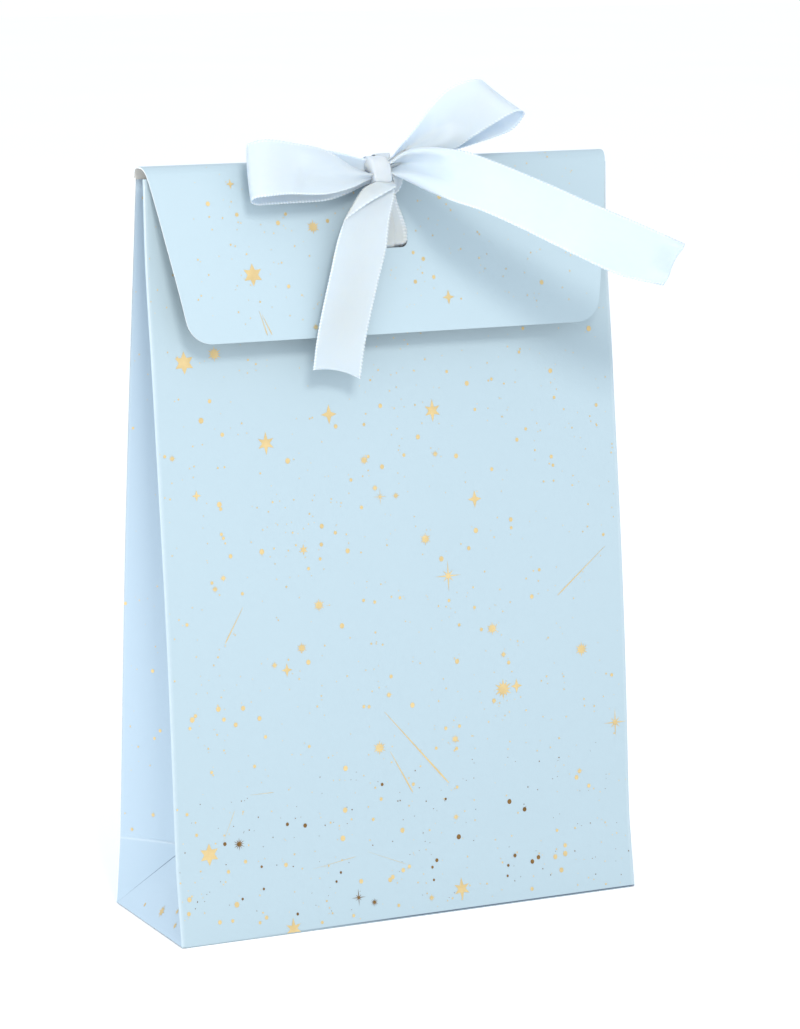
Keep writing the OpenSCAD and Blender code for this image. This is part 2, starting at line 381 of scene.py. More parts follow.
def side_bend(z, front):
    """How far a panel's side folds stand out: slack below, and drawn in by the ribbon near the mouth."""
    if front:
        return 1.2 * hump(z, 28, 158, 0.9) - 1.25 * hump(z, 155, MOUTH_Z, 1.4)
    return 1.6 * hump(z, SCORE_Z, MOUTH_Z, 1.0)


def swell(x, z, front):
    """How far a panel stands out of its plane: its sides' bend, and the unevenness of folded card."""
    inside = math.cos(math.pi * x / (2 * HALF_W)) * math.sin(math.pi * min(1, max(0, z / MOUTH_Z)))
    uneven = noise.noise(Vector((x / 55.0, z / 70.0, 1.7 if front else 4.1)))
    return side_bend(z, front) + inside * (0.4 + 0.7 * uneven)


EDGE_R = 0.7                        # radius of the folds down the panels' sides
SIDE = HALF_W - EDGE_R              # where a side fold starts
TURN = 62.0                         # how far round the fold the panel's own sheet goes, in degrees


def panel_place(front):
    """Maps (u, z) to a panel's printed side; u past SIDE runs round the side fold."""
    y_sign = -1 if front else 1

    def surface(x, z):
        return Vector((x, y_sign * (half_depth(z) + swell(x, z, front)), z))

    def place(u, z):
        x = max(-SIDE, min(SIDE, u))
        p = surface(x, z)
        du = surface(x + 0.2, z) - surface(x - 0.2, z)
        dz = surface(x, z + 0.2) - surface(x, z - 0.2)
        n = du.cross(dz).normalized() * -y_sign
        if n.y * y_sign < 0:
            n = -n
        over = abs(u) - SIDE
        if over > 0:
            angle = over / EDGE_R
            out = Vector((math.copysign(1, u), 0, 0))
            centre = p - n * EDGE_R
            n = n * math.cos(angle) + out * math.sin(angle)
            p = centre + n * EDGE_R
        return p, n
    return place


PANEL_U = SIDE + EDGE_R * math.radians(TURN)


def slotted_halves(edge, slot_at, cuts_u, cuts_v):
    """
    The cells of a sheet in two halves that leave the ribbon's slot open between them. edge is the right
    half's outline, from one end of the middle line to the other; slot_at is the slot's middle along it.
    """
    half_w, half_h = SLOT_W / 2, SLOT_H / 2
    slot = [(0, slot_at - half_h)] + arc((half_w - SLOT_R, slot_at - half_h + SLOT_R), SLOT_R, -90, 0, 6) \
        + arc((half_w - SLOT_R, slot_at + half_h - SLOT_R), SLOT_R, 0, 90, 6) + [(0, slot_at + half_h)]
    right = edge + list(reversed(slot))
    left = [(-u, v) for u, v in reversed(edge)] + [(-u, v) for u, v in slot]
    return join_cells([cut_outline(o, cuts_u, cuts_v) for o in (left, right)])


def panel_cells():
    """The cells of the front or back panel, finer at its side folds, its score and its ends."""
    side_cuts = [s * (SIDE + d) for s in (-1, 1) for d in (-2.0, -0.8, 0, 0.18, 0.36, 0.54, 0.72)]
    cuts_u = ladder(-PANEL_U, PANEL_U, 7.5, side_cuts + [-BESIDE_SLOT, BESIDE_SLOT])
    score_cuts = [SCORE_Z + d for d in (-3, -1.5, -0.5, 0, 0.5, 1.5, 3)]
    cuts_v = ladder(LIFT, MOUTH_Z, 4.0, [0.65, 0.8, 1.5] + score_cuts + [MOUTH_Z - 1, MOUTH_Z - 0.3])
    edge = [(0, LIFT), (PANEL_U, LIFT), (PANEL_U, MOUTH_Z), (0, MOUTH_Z)]
    return slotted_halves(edge, SLOT_Z, cuts_u, cuts_v)


def panel_wear_and_painted_light(u, z):
    """Paler along the side folds, from wear and a painted highlight, with a painted line of shade under the
    base edge that grows to the right.
    """
    side = smoothstep(abs(u), SIDE - 0.7, SIDE + 0.3)
    # painted shadow: the dark line along the base edge
    if z < 0.7:
        return -0.9 * smoothstep(u, -62, 5)
    return 0.25 * side


# ---- closing flap and back lip ----------------

FLAP_LOW_HALF = 65.0                # half of the flap's width at its lower edge, without the corners
FLAP_R = 8.0                        # radius of the flap's lower corners
# The flap seen from the side, as (y, z), from the top fold to its lower edge
FLAP_SIDE = [(0, FOLD_Z), (-2.1, 223.5), (-4.0, 221.9), (-5.3, 219.0), (-6.5, 215.0), (-7.9, 210.0),
             (-10.1, 201.0), (-12.7, 190.0), (-14.3, 182.0), (-15.7, 173.9)]


def catmull(points, per_span):
    """A smooth curve through points, any number of dimensions."""
    p = [np.array(q, float) for q in points]
    p = [2 * p[0] - p[1]] + p + [2 * p[-1] - p[-2]]
    curve = []
    for i in range(1, len(p) - 2):
        for k in range(per_span):
            t = k / per_span
            curve.append(0.5 * (2 * p[i] + (p[i + 1] - p[i - 1]) * t
                                + (2 * p[i - 1] - 5 * p[i] + 4 * p[i + 1] - p[i + 2]) * t ** 2
                                + (3 * p[i] - p[i - 1] - 3 * p[i + 1] + p[i + 2]) * t ** 3))
    curve.append(p[-2])
    return np.array(curve)


class Profile:
    """A smooth side profile through points (y, z), measured along its length."""

    def __init__(self, points):
        self.curve = catmull(points, 8)
        steps = np.linalg.norm(np.diff(self.curve, axis=0), axis=1)
        self.at = np.concatenate([[0], np.cumsum(steps)])
        self.length = self.at[-1]

    def point(self, s):
        return np.array([np.interp(s, self.at, self.curve[:, k]) for k in (0, 1)])

    def normal(self, s, step):
        """The outward normal at s, across the direction from one step before it to one step after it."""
        (y0, z0), (y1, z1) = self.point(s - step), self.point(s + step)
        return Vector((0, z1 - z0, y0 - y1)).normalized()

    def length_at_z(self, z):
        return float(np.interp(-z, -self.curve[:, 1], self.at))


flap_profile = Profile(FLAP_SIDE)
FLAP_SLOT = flap_profile.length_at_z(SLOT_Z)    # distance from the top fold to the middle of the flap's slot


def flap_place(u, s):
    """Maps (across, distance along the card from the top fold) to the flap's printed side."""
    y, z = flap_profile.point(s)
    n = flap_profile.normal(s, 0.4)
    # the knot draws the middle in a little, and the lower corners lift
    draw = 0.7 * math.exp(-(u / 26.0) ** 2) * smoothstep(s, 4, 16) * (1 - 0.5 * smoothstep(s, 26, 50))
    lift = 0.5 * (abs(u) / HALF_W) ** 3 * smoothstep(s, 20, 50)
    uneven = 0.35 * noise.noise(Vector((u / 40.0, s / 30.0, 7.3))) * smoothstep(s, 2, 12)
    return Vector((u, y, z)) + n * (lift + uneven - draw), n


def flap_cells():
    """The flap's cells: sides that lean in to rounded lower corners, and finer over the top fold."""
    length = flap_profile.length
    lean = math.atan2(HALF_W - FLAP_LOW_HALF, length)
    side = Vector((math.sin(lean), math.cos(lean)))
    reach = FLAP_R * (1 + math.sin(lean)) / math.cos(lean)
    c = (FLAP_LOW_HALF + reach * side.x - FLAP_R * math.cos(lean), length - FLAP_R)
    corner = arc(c, FLAP_R, 90, math.degrees(lean), 12)
    edge = list(reversed([(0, length)] + corner + [(HALF_W, 0.0), (0, 0.0)]))
    cuts_u = ladder(-HALF_W, HALF_W, 5.0, [-BESIDE_SLOT, BESIDE_SLOT])
    cuts_v = ladder(0, length, 2.5, [0.4, 0.9, 1.4, 2.0, 3.2, 3.9, 4.6])
    return slotted_halves(edge, FLAP_SLOT, cuts_u, cuts_v)


def flap_wear_and_highlight(u, s):
    """Paler along the top fold, from wear and a painted highlight."""
    return 0.30 * math.exp(-(s / 0.8) ** 2)


lip_profile = Profile([(HALF_MOUTH, MOUTH_Z), (3.3, 221.9), (2.6, 223.1), (1.4, 223.7), (0.0, FOLD_Z)])


def lip_place(u, s):
    """Maps (across, distance up the card from the back panel's top) to the back lip's printed side."""
    y, z = lip_profile.point(s)
    return Vector((u, y, z)), lip_profile.normal(s, 0.3)


# ---- gussets and base ----------------

PLEAT_IN = 0.35                     # how far the pleat's edges lie in from the panels' sides
CREASE_R = 0.45                     # half of the room that the pleat's crease takes up
SHADE_AT = 0.988                    # where the line of shade beside the rear crease lies on half of a pleat
# Where the points lie on half of a pleat, from its edge to its crease
HALF_COLUMNS = [0, 0.02, 0.05, 0.1, 0.18, 0.28, 0.4, 0.52, 0.64, 0.76, 0.86, 0.93, 0.97, SHADE_AT, 1.0]


def gusset_row(z):
    """The pleat's section at height z on the left side: rear edge, rear crease, front crease, front edge."""
    rear = half_depth(z) + side_bend(z, False) - CARD
    front = half_depth(z) + side_bend(z, True) - CARD
    edge_x = -HALF_W + PLEAT_IN
    if z < TRIANGLE_Z:
        f = z / TRIANGLE_Z
        inner_x, inner_y = -HALF_W + TRIANGLE_IN * f, (HALF_D - CARD) * (1 - f)
    else:
        inner_x, inner_y = -HALF_W + math.sqrt(HALF_D ** 2 - ((rear + front) / 2) ** 2), 0.0
    middle = (rear - front) / 2 * smoothstep(z, TRIANGLE_Z, TRIANGLE_Z + 20)
    inner_y = max(inner_y, CREASE_R)
    return [(edge_x, rear), (inner_x, middle + inner_y), (inner_x, middle - inner_y), (edge_x, -front)]


def pleat_point(z, rear, t):
    """A point on half of the left pleat at height z and the outward direction; t goes forward from 0 to 1."""
    row = [np.array(p) for p in gusset_row(z)]
    a, b = row[:2] if rear else row[2:]
    out = np.array([b[1] - a[1], a[0] - b[0]])
    out = out / (np.linalg.norm(out) + 1e-9)
    belly = 0.5 * smoothstep(z, TRIANGLE_Z, 90) * math.sin(math.pi * t)
    return a + (b - a) * t + out * belly, out


def pleat_place(side, rear):
    """Maps (distance forward along half of a pleat, height) to its printed side."""
    def place(u, z):
        (x, y), (out_x, out_y) = pleat_point(z, rear, u / HALF_D)
        return Vector((side * -x, y, z)), Vector((side * -out_x, out_y, 0))
    return place


def triangle_place(side):
    """Maps (y, height) to the base triangle's printed side."""
    def place(y, z):
        x = HALF_W - TRIANGLE_IN * z / TRIANGLE_Z
        return Vector((side * x, y, z)), Vector((side * TRIANGLE_Z, 0, TRIANGLE_IN)).normalized()
    return place


def gusset_section(z):
    """Points across the pleat at height z with each point's wear and painted light; below zero it is a
    painted line of shade.
    """
    points, wear_and_light = [], []
    for rear in (True, False):
        for t in HALF_COLUMNS if rear else [1 - t for t in reversed(HALF_COLUMNS)]:
            points.append(pleat_point(z, rear, t)[0])
            inward = t if rear else 1 - t
            # the pleat's edge and crease are paler from wear and a painted highlight, the score has a painted
            # highlight, and the rear crease a painted line of shade
            edge = 0.32 * math.exp(-(inward / 0.02) ** 2)
            if z > TRIANGLE_Z:
                crease = 0.38 * math.exp(-((1 - inward) / 0.03) ** 2)
            else:
                crease = -0.8 if rear and t == SHADE_AT else 0.0
            score = 0.5 * math.exp(-((z - SCORE_Z - 0.3 - 1.6 * inward) / 0.3) ** 2)
            wear_and_light.append(crease if crease < 0 else max(edge, crease, score))
    return points, wear_and_light


def make_gusset(name, side):
    """One pleated side, from the base triangle up to the mouth, as one folded sheet."""
    # rows close together on the triangle and round the score, and even above them
    rows = [LIFT, 0.8, 1.4] + list(np.linspace(2.5, SCORE_Z - 1.2, 12)) \
        + list(np.linspace(SCORE_Z - 0.9, TRIANGLE_Z, 13)) \
        + list(np.linspace(TRIANGLE_Z + 0.2, SCORE_Z + 3, 6)) \
        + list(np.linspace(SCORE_Z + 4.2, MOUTH_Z - 0.5, 50))
    columns = 2 * len(HALF_COLUMNS)
    outer, wear_and_light = [], []
    for z in rows:
        points, creased = gusset_section(z)
        outer += [(side * -x, y, z) for x, y in points]
        wear_and_light += creased
    # the thickness goes to the bag's inside, along the sheet's own normal
    grid = np.array(outer).reshape(len(rows), columns, 3)
    normal = unit_rows(np.cross(np.gradient(grid, axis=0), np.gradient(grid, axis=1)))
    if normal[len(rows) // 2, columns // 4, 0] * side < 0:
        normal = -normal
    inner = grid - normal * CARD
    faces = []
    for r in range(len(rows) - 1):
        for c in range(columns - 1):
            a = r * columns + c
            faces.append([a, a + 1, a + 1 + columns, a + columns])
    if side > 0:
        faces = [list(reversed(f)) for f in faces]
    return card_object(name, outer, list(inner.reshape(-1, 3)), faces, wear_and_light, GUSSET_PRINT_PAINTED_LIGHT)[0]


# ---- camera, light and floor ----------------

def make_camera():
    """Looks from the front left and a little above, with a long lens."""
    target = Vector((7.7, 0.0, 116.9)) * MM
    yaw, pitch, distance = math.radians(25.74), math.radians(10.21), 1.085
    ahead = Vector((math.sin(yaw) * math.cos(pitch), math.cos(yaw) * math.cos(pitch), -math.sin(pitch)))
    data = bpy.data.cameras.new("camera")
    data.sensor_width = 36.0
    data.lens = 126.8
    cam = bpy.data.objects.new("camera", data)
    cam.location = target - ahead * distance
    cam.rotation_mode = "QUATERNION"
    cam.rotation_quaternion = ahead.to_track_quat("-Z", "Y")
    bpy.context.scene.collection.objects.link(cam)
    bpy.context.scene.camera = cam


def area_light(name, place, size, power, tint):
    data = bpy.data.lights.new(name, "AREA")
    data.shape = "RECTANGLE"
    data.size, data.size_y = size
    data.energy = power
    data.color = tint
    obj = bpy.data.objects.new(name, data)
    obj.location = place
    obj.rotation_mode = "QUATERNION"
    aim = Vector((0, 0, 0.12)) - Vector(place)
    obj.rotation_quaternion = aim.to_track_quat("-Z", "Y")
    bpy.context.scene.collection.objects.link(obj)


def make_studio():
    world = bpy.data.worlds.new("studio")
    world.use_nodes = True
    world.node_tree.nodes["Background"].inputs["Color"].default_value = (1.0, 1.075, 1.17, 1.0)
    world.node_tree.nodes["Background"].inputs["Strength"].default_value = 1.0
    bpy.context.scene.world = world
    area_light("key", (-0.22, -1.10, 0.98), (0.34, 0.28), 8.5, (1.0, 0.965, 0.925))
    area_light("low_fill", (-0.40, -1.00, 0.06), (1.2, 0.25), 2.2, (0.99, 1.0, 1.02))
    area_light("side_fill", (-1.25, -0.30, 0.45), (1.1, 1.0), 7.0, (0.96, 0.99, 1.0))
    reach = 6.0 / MM
    corner_points = [(x * reach, y * reach, 0) for x, y in ((-1, -1), (1, -1), (1, 1), (-1, 1))]
    new_mesh("studio_floor", corner_points, [[0, 1, 2, 3]], [floor_material()])
    bpy.context.scene.view_settings.view_transform = "Standard"


make_camera()
make_studio()

# ---- card pieces ----------------

front = card_sheet("front_card", panel_cells(), panel_place(True), panel_wear_and_painted_light, PRINTED)
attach(front, "front")
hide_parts("front_panel")

back = card_sheet("back_card", panel_cells(), panel_place(False), panel_wear_and_painted_light, PRINTED)
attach(back, "bag")
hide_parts("back_panel")

lip_top = lip_profile.length
lip_cells = cut_outline([(-HALF_W, 0), (HALF_W, 0), (HALF_W, lip_top), (-HALF_W, lip_top)],
                        ladder(-HALF_W, HALF_W, 10), ladder(0, lip_top, 0.5))
lip = card_sheet("back_lip", lip_cells, lip_place, lambda u, s: 0.0, PRINTED)
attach(lip, "bag")

flap = card_sheet("closing_flap_card", flap_cells(), flap_place, flap_wear_and_highlight, FLAP_PRINT_PAINTED_LIGHT)
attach(flap, "flap")
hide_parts("closing_flap")

for name, side in (("left", -1), ("right", 1)):
    gusset = make_gusset(f"{name}_gusset_card", side)
    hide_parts(f"{name}_gusset_front", f"{name}_gusset_rear", f"{name}_base_triangle")
    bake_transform(gusset)

# The base's layers and the seam keep their CAD shapes
for node, material in BASE_LAYERS:
    for slot in bpy.data.objects[node].material_slots:
        slot.material = material

# ---- satin ribbon ----------------
# Each strand is lofted between its two edges. A station is (one edge, other edge), in millimetres.

RIBBON_T = 0.16                     # thickness of the satin
LAYER_GAP = 0.36                    # distance between layers that are folded flat on each other
ACROSS = 28                         # faces across the ribbon
GATHERS_BELOW = 15.0                # a strand narrower than this is gathered into folds
PICOT_OUT = 0.14                    # how far the little loops stand out
CUT_REACH = 4.0                     # how far the hollow of a cut end reaches along the tail


def even_steps(curve, step):
    """The same curve with points about one step apart along the middle of its two last rails."""
    middle = (curve[:, -6:-3] + curve[:, -3:]) / 2
    at = np.concatenate([[0], np.cumsum(np.linalg.norm(np.diff(middle, axis=0), axis=1))])
    wanted = np.linspace(0, at[-1], round(at[-1] / step) + 1)
    return np.stack([np.interp(wanted, at, curve[:, k]) for k in range(curve.shape[1])], axis=1), wanted


def satin_sheet(name, grid, along, closed=False, satin=SATIN):
    """A thin double-sided piece of ribbon over a grid of points, with the weave's coordinates."""
    rows, columns = grid.shape[:2]
    d_along = np.roll(grid, -1, axis=0) - np.roll(grid, 1, axis=0) if closed else np.gradient(grid, axis=0)
    normal = unit_rows(np.cross(d_along, np.gradient(grid, axis=1)))
    faces = []
    for r in range(rows if closed else rows - 1):
        for c in range(columns - 1):
            a, b = r * columns + c, ((r + 1) % rows) * columns + c
            faces.append([a, b, b + 1, a + 1])
    all_faces, _ = closed_shell(faces, rows * columns)
    top, under = grid + normal * RIBBON_T / 2, grid - normal * RIBBON_T / 2
    obj = new_mesh(name, list(top.reshape(-1, 3)) + list(under.reshape(-1, 3)), all_faces, [satin])
    uv = obj.data.uv_layers.new(name="weave")
    place = [(c / (columns - 1), along[r] / RIBBON_W) for r in range(rows) for c in range(columns)] * 2
    for loop in obj.data.loops:
        uv.data[loop.index].uv = place[loop.vertex_index]
    return obj


def ribbon(name, stations, folds=2, most=1.3, arch=0.0, bias=1.0, layered=False, cut=0.0, facing=1):
    """
    A strand of ribbon lofted along its stations, and its length. Where its edges come closer than its width
    it gathers into folds or, when it is layered, is folded flat in three. facing scales the folds, and starts
    them forward when it is below zero. A station of three points has an edge turned over to the front:
    (turned edge, fold, other edge).
    """
    line, along = even_steps(catmull([sum((list(p) for p in s), []) for s in stations], 24), PICOT / 2)
    turned = len(stations[0]) == 3
    first, second = line[:, -6:-3], line[:, -3:]
    t = np.linspace(0, 1, ACROSS + 1)
    chord = second - first
    width = np.linalg.norm(chord, axis=1)
    ahead = unit_rows(np.gradient((first + second) / 2, axis=0))
    out = unit_rows(np.cross(ahead, chord))
    if turned:
        flap_width = np.linalg.norm(line[:, :3] - first, axis=1)
        share = (flap_width / (flap_width + width))[:, None]
        on_flap = np.clip((share - t) / np.maximum(share, 1e-6), 0, 1)
        across = np.clip((t - share) / (1 - share), 0, 1)
        grid = first[:, None, :] + chord[:, None, :] * across[:, :, None] \
            + (line[:, :3] - first)[:, None, :] * on_flap[:, :, None]
        width = width + flap_width
    elif layered:
        amount = np.clip(0.63 * np.sqrt(np.maximum(RIBBON_W / width - 1, 0)), 0, 0.45)[:, None]
        across = t + amount * np.sin(2 * math.pi * t) / 1.35
        grid = first[:, None, :] + chord[:, None, :] * across[:, :, None] \
            + out[:, None, :] * (LAYER_GAP * np.cos(math.pi * t))[None, :, None]
    else:
        across = np.broadcast_to(t, (len(line), len(t)))
        grid = first[:, None, :] + chord[:, None, :] * t[None, :, None]
    slack = np.maximum(GATHERS_BELOW / np.maximum(width, 0.5) - 1, 0)
    high = np.minimum(width / (math.pi * folds) * np.sqrt(slack), most) * (0 if layered or turned else facing)
    high = np.convolve(np.pad(high, 4, mode="edge"), np.ones(9) / 9, mode="valid")
    wave = np.sin(2 * math.pi * folds * t ** bias)
    wave = np.copysign(np.abs(wave) ** 0.75, wave) * np.sin(math.pi * t) ** 0.4
    lift = high[:, None] * wave[None, :] + arch * 4 * across * (1 - across)
    grid = grid + out[:, None, :] * lift[:, :, None]
    # the selvedges' picots, and the cut end's slight hollow
    picot = PICOT_OUT * np.where(np.arange(len(line)) % 2, 1, -1)[:, None]
    grid[:, 0] -= unit_rows(grid[:, 1] - grid[:, 0]) * picot
    grid[:, -1] -= unit_rows(grid[:, -2] - grid[:, -1]) * picot
    near_end = np.clip(1 - (along[-1] - along) / CUT_REACH, 0, 1)[:, None]
    grid -= ahead[:, None, :] * (cut * near_end * 4 * t * (1 - t))[:, :, None]
    return satin_sheet(name, grid, along), float(along[-1])


LEFT_LOOP = [((-5, -12.2, 220.4), (-5, -12.2, 219)), ((-7.9, -12.5, 220.3), (-7.6, -12.9, 219)),
             ((-10.7, -12.9, 221.2), (-10.4, -13.8, 218.2)), ((-13.8, -13.1, 222.5), (-14.2, -15, 217)),
             ((-16.3, -13.3, 224.1), (-18.6, -15.8, 216)), ((-19.6, -13.5, 226.2), (-23.6, -16.8, 215.4)),
             ((-24.7, -13.6, 228.4), (-28.4, -17.6, 215.5)), ((-33, -13.4, 230.2), (-36, -18.4, 216)),
             ((-40.3, -12.8, 231.3), (-42, -18.2, 215.7)), ((-44.8, -11, 230.5), (-46, -16.4, 215)),
             ((-45.2, -9, 229.2), (-46, -13.8, 213.6)), ((-42.5, -7.3, 228.3), (-43, -12, 212.6)),
             ((-38.5, -6.7, 228), (-40, -11.4, 212.6)), ((-29, -6.4, 227.8), (-31, -11, 212.7)),
             ((-19.2, -6.5, 227.1), (-21.4, -11.2, 213)), ((-13.1, -8.6, 225.8), (-14.8, -11, 214.6)),
             ((-8.5, -10.6, 224.4), (-9.4, -11, 216.8)), ((-4.5, -10.8, 223.6), (-4.8, -10.8, 218))]
RIGHT_LOOP = [((-3, -10.8, 223), (-2, -11.5, 221.3)), ((0, -10.6, 224.8), (2, -11.6, 222.6)),
              ((1.8, -10.4, 227), (7.5, -12.6, 224.6)), ((5.2, -10.6, 230.5), (13, -13.4, 226)),
              ((8.2, -10.8, 234), (18.5, -14.6, 226.9)), ((11.6, -11.2, 238.6), (23, -15.8, 229.8)),
              ((15.9, -11.8, 243), (26.7, -17, 232.2)), ((19.5, -12.4, 245.3), (30.3, -18.2, 234.5)),
              ((23.1, -13, 246.4), (33.8, -19.2, 236.5)), ((26.5, -12.9, 246.7), (36.9, -19.1, 237.6)),
              ((28.9, -11.6, 246.2), (39.8, -17.2, 237)), ((29.7, -9.6, 245.2), (40.8, -14.4, 235.2)),
              ((26.2, -8, 242.7), (38.4, -12.4, 231.6)), ((20.5, -7.2, 239), (33.1, -11.6, 229.5)),
              ((15.6, -6.8, 235.3), (27.6, -10.8, 227.9)), ((10.5, -6.6, 231.7), (20.2, -10, 226)),
              ((5.5, -7.5, 228.3), (10, -9.6, 224)), ((1, -9, 225), (2.5, -9.5, 223)),
              ((-2, -9.5, 223.5), (-2, -9.5, 221.5))]
LONG_TAIL = [((-3.5, -11.8, 223.2), (-3, -11.8, 220.2)), ((-1, -12.3, 224), (0.5, -12.7, 219.5)),
             ((3, -15.4, 227), (2.5, -16.6, 218)), ((7, -20, 228), (4, -22, 216.5)),
             ((10.2, -25.5, 228), (5.7, -28.5, 215)), ((15, -31.2, 227), (8.7, -34.8, 213.3)),
             ((21.8, -37.2, 224), (14.3, -40.8, 211)), ((31.2, -42.7, 219.6), (23.5, -46.3, 206.3)),
             ((39, -46.4, 215.8), (30.8, -49.6, 202.3)), ((47.2, -50.2, 211.8), (39.3, -52.8, 197.8)),
             ((58.5, -53.5, 206.7), (51, -55.5, 192.3)), ((72, -56.2, 200.5), (64, -57.8, 189))]
# The short tail has its left edge turned over to the front beside the knot
SHORT_TAIL = [((-1.5, -11.8, 219.4), (-6, -11.6, 220), (-1, -11.4, 219.4)),
              ((0, -13.2, 216.8), (-6.5, -12.9, 218.6), (0, -12.6, 217.2)),
              ((-0.5, -14.2, 216.3), (-7, -13.5, 218), (-0.1, -12.9, 216)),
              ((-5, -15.2, 214.5), (-11, -14.4, 216.5), (-0.5, -13.5, 214.8)),
              ((-9.5, -15.9, 212.5), (-13.5, -15, 214), (-1.2, -14.2, 212.5)),
              ((-14, -16.3, 210), (-16, -15.7, 210.7), (-2.3, -15, 209.7)),
              ((-17.7, -16.3, 207.4), (-18.1, -16.1, 207.4), (-3.4, -15.8, 206.3)),
              ((-19.6, -16.4, 203.5), (-19.6, -16.4, 203.5), (-4.2, -16.4, 202)),
              ((-20.9, -16.8, 200), (-20.9, -16.8, 200), (-5, -16.8, 198)),
              ((-22.7, -17.3, 193.5), (-22.7, -17.3, 193.5), (-7.2, -17.3, 191)),
              ((-25.4, -17.8, 183.5), (-25.4, -17.8, 183.5), (-10, -17.8, 181)),
              ((-27.6, -18.2, 174), (-27.6, -18.2, 174), (-12.4, -18.2, 171.3)),
              ((-29, -18.5, 165), (-29, -18.5, 165), (-14, -18.5, 161.5))]
FRONT_LEAD = [((-4, -10.2, 220), (0.2, -10.2, 219.5)), ((-4.2, -9.9, 216.5), (1.1, -10, 216)),
              ((-4.6, -9.6, 212), (2.2, -9.9, 211.5)), ((-5, -9.7, 207), (4.2, -9.9, 206.5)),
              ((-5.2, -9.9, 204), (5.1, -10, 203.7)), ((-5.3, -10, 201.6), (5.4, -10, 201.4)),
              ((-5.1, -10, 199.9), (5.2, -10, 199.9)), ((-4.8, -9.6, 199), (4.8, -9.6, 199)),
              ((-4.6, -8.6, 198.4), (4.6, -8.6, 198.4)), ((-5, -6.6, 197.4), (5, -6.6, 197.4))]
OVER_TOP = [((-7.2, -9.6, 221.3), (-1, -9.6, 220.8)), ((-7, -8.4, 223), (0, -8.4, 222.7)),
            ((-6, -6, 224.2), (1.4, -6, 224.1)), ((-4.6, -3, 224.6), (2.8, -3, 224.6)),
            ((-3.4, 0.4, 224.6), (4, 0.4, 224.6)), ((-3, 4, 223.4), (4.5, 4, 223.4)),
            ((-3.8, 5.4, 220), (4.6, 5.4, 220)), ((-4.8, 6.7, 213), (4.8, 6.7, 213)),
            ((-5.1, 7, 207), (5.1, 7, 207)), ((-5.2, 6.7, 203.5), (5.2, 6.7, 203.5)),
            ((-5.2, 6, 201), (5.2, 6, 201)), ((-5.2, 5.1, 199), (5.2, 5.1, 199)),
            ((-5.2, 4.2, 197.6), (5.2, 4.2, 197.6)), ((-5, 3.2, 197.4), (5, 3.2, 197.4))]
# The turn of ribbon that shows at the right of the knot
HALF_KNOT = [((-2.6, -8.6, 222.2), (-4.2, -10.8, 222.8)), ((0.2, -9.4, 221.5), (-2.4, -11.8, 222.2)),
             ((2.2, -9.8, 220.8), (-1.3, -12.6, 220.9)), ((3.4, -10.3, 219.1), (-0.9, -13, 219.5)),
             ((3.4, -10.4, 217.1), (-0.4, -12.9, 217.8)), ((2.5, -10.3, 215.1), (0.2, -12, 216.3)),
             ((1.2, -9.7, 213.7), (-0.4, -11, 215.2))]


def knot_band(name, centre, half_height, half_deep, half_width, swell_by, lean):
    """A closed turn of ribbon round the middle of the bow, drawn together to a few millimetres wide."""
    around, across = 64, 40
    t = np.linspace(0, 1, across + 1)
    # fuller in the middle, slightly uneven, and drawn in until both ends are all but closed
    lift = 1 + swell_by * np.sin(math.pi * t) ** 0.6 + 0.012 * np.sin(4 * math.pi * t + 0.6) \
        - 0.88 * np.abs(2 * t - 1) ** 12
    grid = np.zeros((around, across + 1, 3))
    for i in range(around):
        a = 2 * math.pi * i / around
        y, z = (math.copysign(abs(f) ** 0.86, f) for f in (-math.cos(a), math.sin(a)))
        grid[i, :, 0] = centre[0] + half_width * (2 * t - 1) - lean * z * half_height
        grid[i, :, 1] = centre[1] + y * half_deep * lift
        grid[i, :, 2] = centre[2] + z * half_height * lift
    girth = math.pi * (half_height + half_deep)
    # the knot takes the satin painted lighter, as painted light
    return satin_sheet(name, grid, np.arange(around) / around * girth, closed=True, satin=KNOT_SATIN_PAINTED_LIGHT)


left_loop, left_length = ribbon("bow_left_loop", LEFT_LOOP, folds=1, most=0.9, arch=0.4)
right_loop, right_length = ribbon("bow_right_loop", RIGHT_LOOP, folds=1, arch=0.3)
long_tail, long_length = ribbon("bow_long_tail", LONG_TAIL, folds=1.25, most=2.6, arch=-0.4, bias=0.55,
                                facing=-1.5)
short_tail, short_length = ribbon("bow_short_tail", SHORT_TAIL, arch=-0.4, cut=1.2)
front_lead, lead_length = ribbon("ribbon_front_lead_satin", FRONT_LEAD, layered=True)
over_top, over_length = ribbon("ribbon_over_top_satin", OVER_TOP, layered=True)
half_knot = ribbon("bow_half_knot", HALF_KNOT, folds=1, most=0.5, arch=0.5)[0]
knot = knot_band("bow_knot", centre=(-4.5, -10.3, 220.9), half_height=3.9, half_deep=3.6, half_width=3.4,
                 swell_by=0.07, lean=0.17)

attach(half_knot, "flap")
for piece, node in ((left_loop, "ribbon_left_loop"), (right_loop, "ribbon_right_loop"),
                    (long_tail, "ribbon_long_tail"), (short_tail, "ribbon_short_tail"),
                    (front_lead, "ribbon_front_lead"), (knot, "ribbon_knot")):
    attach(piece, "flap")
    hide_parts(node)
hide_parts("ribbon_over_top", "ribbon_back_strand")
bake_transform(over_top)


# ---- foil stars ----------------
# A star is (kind, across, up, radius) and a line is (start, end, thickness), in millimetres on its card.

FOIL_LIFT = 0.05                    # how far the foil stands off the card
# Number of rays, length of every other ray, radius at the notches, and length of the sideways rays
STAR_SHAPES = {
    "six": (6, 1.0, 0.36, 0.82), "flake": (6, 1.0, 0.50, 0.95), "burst": (12, 0.80, 0.46, 1.0),
    "small": (8, 0.85, 0.45, 1.0), "rays": (12, 0.85, 0.30, 1.0), "spark": (4, 1.0, 0.34, 0.86),
    "long": (8, 0.5, 0.14, 0.92),
}


